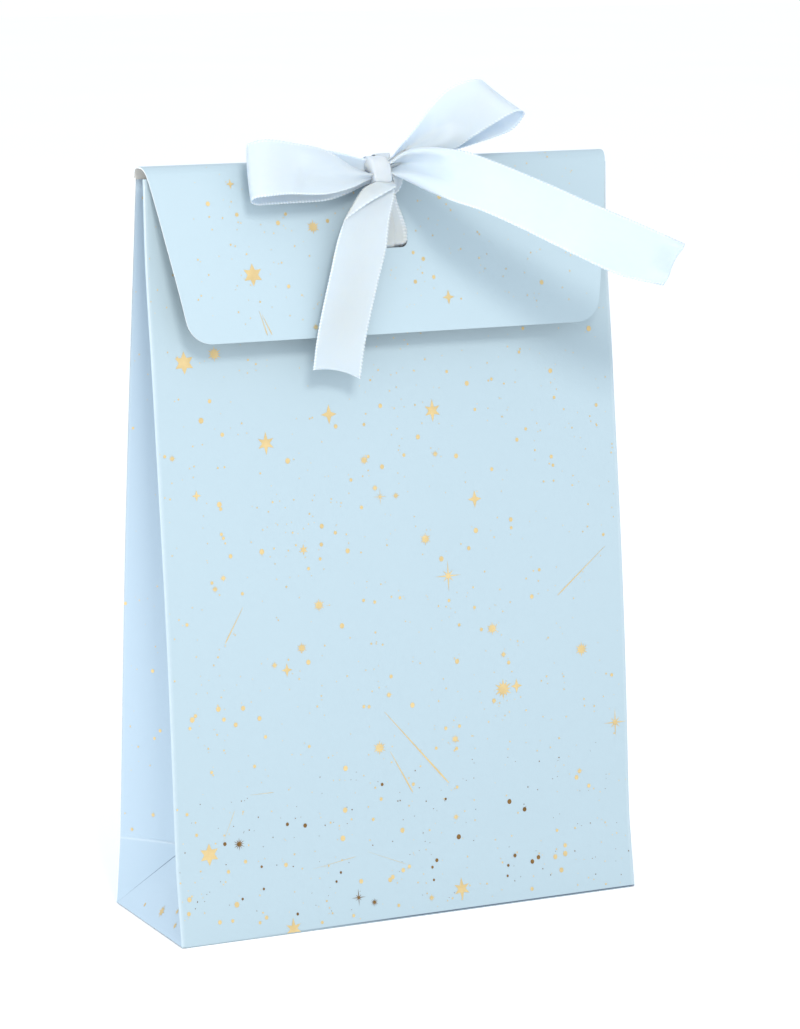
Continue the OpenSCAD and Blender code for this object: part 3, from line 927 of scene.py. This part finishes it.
def star_outline(kind, r):
    """Corner points of a star about its middle."""
    if kind == "dot":
        return [(r * math.sin(i * math.pi / 5), r * 1.1 * math.cos(i * math.pi / 5)) for i in range(10)]
    rays, second, notch, sideways = STAR_SHAPES[kind]
    points = []
    for i in range(2 * rays):
        a = math.pi * i / rays
        if i % 2:
            size = notch
        elif rays >= 8 and i // 2 % 2:
            size = second
        else:
            size = 1.0 if abs(math.sin(a)) < 0.1 else sideways
        points.append((r * size * math.sin(a), r * size * math.cos(a)))
    return points


def spread(stars):
    """The stars without those that would lie over an earlier one in the list."""
    kept = []
    for star in stars:
        if all(math.hypot(star[1] - k[1], star[2] - k[2]) > star[3] + 0.6 * k[3] for k in kept):
            kept.append(star)
    return kept


def foil(name, place, stars, lines=(), low=-math.inf, material=FOIL, slot=None):
    """
    One mesh of foil shapes just proud of the surface that place(u, v) describes, and none of it below low.
    slot is the height of the ribbon's slot there; what would lie over the slot is left out.
    """
    points, faces = [], []
    stars = spread(stars)
    if slot is not None:
        stars = [s for s in stars if abs(s[1]) > SLOT_W / 2 + s[3] or abs(s[2] - slot) > SLOT_H / 2 + s[3]]

    def put(u, v):
        p, n = place(u, max(v, low))
        points.append(p + n * FOIL_LIFT)
        return len(points) - 1

    for kind, u, v, r in stars:
        outline = star_outline(kind, r)
        middle = put(u, v)
        ring = [put(u + a, v + b) for a, b in outline]
        for a, b in zip(ring, ring[1:] + ring[:1]):
            faces.append([middle, b, a])
    for (u0, v0), (u1, v1), thick in lines:
        size = math.hypot(u1 - u0, v1 - v0)
        side = (-(v1 - v0) / size, (u1 - u0) / size)
        steps = 10
        rails = []
        for i in range(steps + 1):
            t = i / steps
            # thin at its start, widest near its end, and quickly narrower at the tip
            tip = 1 if t < 0.92 else (1 - t) / 0.08 * 0.8 + 0.2
            half = thick / 2 * (0.25 + 0.75 * min(1.0, 1.3 * t) * tip)
            u, v = u0 + (u1 - u0) * t, v0 + (v1 - v0) * t
            rails.append([put(u + s * side[0] * half, v + s * side[1] * half) for s in (1, -1)])
        for (a, b), (c, d) in zip(rails, rails[1:]):
            faces.append([a, b, d, c])
    return new_mesh(name, points, faces, [material])


# The printed stars and lines that stand out
FRONT_STARS = [
    ("six", -41, 143.5, 3.4), ("six", 13, 149.5, 3.4), ("six", 16, 6.5, 3.4), ("six", -39.5, 1.5, 3.2),
    ("six", -31, 112, 1.7), ("flake", -65, 168, 3.3), ("flake", -64.5, 26, 3.3),
    ("long", 15.5, 100.5, 4.7), ("long", 70.5, 51, 4.4), ("spark", -20.5, 150.5, 2.9),
    ("spark", 25.5, 122.5, 2.6), ("long", -5.5, 125.5, 2.4), ("spark", -63.5, 130, 1.6),
    ("spark", -38, 77.5, 2.0), ("spark", 37, 65.5, 2.2), ("burst", -55.5, 170, 2.3), ("burst", 8.5, 112, 1.9),
    ("burst", -27, 95.5, 1.9), ("burst", -33, 83.5, 1.7), ("burst", -9, 51.5, 2.2),
    ("burst", 29.5, 83.5, 2.0), ("burst", 59.5, 74.5, 2.3), ("burst", 32.5, 65, 3.1),
    ("burst", 16, 51.5, 1.4), ("burst", -10, 136.5, 1.5)]
# Stars drawn in the foil painted dark, as painted shade
STARS_IN_PAINTED_SHADE = [("rays", -55, 28, 1.9), ("long", -18, 8, 2.6), ("rays", -13, 6, 1.35)]
FRONT_LINES = [((69, 105), (52, 91.5), 0.34), ((-51, 97), (-57, 87), 0.34), ((-7, 62), (13.5, 38.5), 0.5),
               ((-5.5, 50), (1.5, 37), 0.42), ((-32, 18), (-18, 20), 0.12), ((-60, 29), (-56, 38), 0.12),
               ((-51, 42), (-43.5, 42), 0.13), ((-14, 21), (-2, 16), 0.09)]
FLAP_STARS = [("flake", -45, 35, 3.3), ("burst", -24.5, 22, 2.2), ("spark", -49, 8.5, 1.5),
              ("small", -26.5, 51, 1.1), ("spark", 17, 44.5, 2.2)]
FLAP_LINES = [((-44, 45.5), (-42, 52.5), 0.3), ((-43.2, 46.5), (-40.5, 52.5), 0.3)]
BACK_LINES = [((40, 170), (24, 152), 0.4), ((-30, 80), (-44, 62), 0.45), ((10, 60), (4, 44), 0.35)]
LEFT_REAR_STARS = [("dot", 0.6, 94, 0.5), ("dot", 10, 74, 0.55), ("dot", 13.2, 56, 0.5),
                   ("dot", 11.4, 53.5, 0.45), ("small", 12, 30, 0.9), ("small", 4.5, 24.5, 0.8),
                   ("dot", 2.5, 214.6, 0.45), ("dot", 1.6, 147, 0.4)]
BASE_STARS = [("small", -3.9, 5, 1.8), ("small", -15.7, 3.9, 1.0), ("small", -12.8, 7.1, 0.9),
              ("dot", 8, 4, 0.5)]


def dust(seed, count, box, smallest=0.10, largest=0.30):
    """Fine specks strewn between the printed stars, thicker in some places than in others."""
    rng = random.Random(seed)
    (u0, u1), (v0, v1) = box
    found = []
    while len(found) < count:
        u, v = rng.uniform(u0, u1), rng.uniform(v0, v1)
        if rng.random() < 0.25 + 0.9 * (0.5 + 0.5 * noise.noise(Vector((u / 22.0, v / 22.0, seed)))) ** 2:
            found.append(("dot", u, v, smallest + (largest - smallest) * rng.random() ** 2.2))
    return found


def strewn(seed, big, medium, small, box):
    """Stars of every size for a face that the first view doesn't show."""
    rng = random.Random(seed)
    (u0, u1), (v0, v1) = box
    found = []
    for kind, r, count in (("six", 3.3, big), ("long", 4.3, big), ("flake", 3.0, big), ("spark", 2.2, medium),
                           ("burst", 1.6, medium * 2), ("small", 1.05, medium * 2), ("dot", 0.66, small * 2),
                           ("dot", 0.45, small)):
        for _ in range(count):
            u, v = rng.uniform(u0 + 4, u1 - 4), rng.uniform(v0 + 4, v1 - 4)
            found.append((kind, u, v, r * rng.uniform(0.85, 1.1)))
    return found


FOIL_IN_PAINTED_SHADE = foil_material(True)
front_place, back_place = panel_place(True), panel_place(False)
whole = ((-74, 74), (1.5, 219))
below_flap = ((-73, 73), (2, 176))
under_flap = strewn(12, 0, 1, 10, ((-70, 70), (178, 217)))
dots = dust(6, 125, below_flap, 0.46, 0.8) + [("small", u, v, 1.05) for _, u, v, _ in dust(9, 14, below_flap)]
front_print = spread(FRONT_STARS + dots + under_flap + dust(3, 950, whole, 0.12))
stars = foil("front_stars", front_place, front_print, FRONT_LINES, low=LIFT, slot=SLOT_Z)
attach(stars, "front")
# specks drawn in the foil painted dark, as painted shade
dots_in_painted_shade = dust(11, 24, ((-62, 56), (5, 42)), 0.36, 0.72) + dust(5, 130, ((-74, 74), (4, 48)), 0.10, 0.20)
print_in_painted_shade = spread(front_print + STARS_IN_PAINTED_SHADE + dots_in_painted_shade)[len(front_print):]
stars = foil("front_stars_in_shade", front_place, print_in_painted_shade, low=LIFT, material=FOIL_IN_PAINTED_SHADE)
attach(stars, "front")
stars = foil("back_stars", back_place, strewn(21, 3, 8, 60, whole) + dust(22, 900, whole, 0.12), BACK_LINES,
             slot=SLOT_Z)
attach(stars, "bag")
flap_dots = dust(13, 17, ((-62, 62), (8, 50)), 0.45, 0.75) + dust(8, 230, ((-63, 63), (2, 49)), 0.12)
stars = foil("flap_stars", flap_place, FLAP_STARS + flap_dots, FLAP_LINES, slot=FLAP_SLOT)
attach(stars, "flap")

pleat_box = ((1, 25), (26, 214))
for name, side in (("left", -1), ("right", 1)):
    for half, rear in (("rear", True), ("front", False)):
        pattern = LEFT_REAR_STARS if side < 0 and rear else strewn(40 + side, 0, 2, 6, pleat_box)
        stars = foil(f"{name}_{half}_gusset_stars", pleat_place(side, rear),
                     pattern + dust(30 + 3 * side + rear, 60, pleat_box))
        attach(stars, "bag" if rear else "front")
    stars = foil(f"{name}_base_stars", triangle_place(side), BASE_STARS)
    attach(stars, "bag")
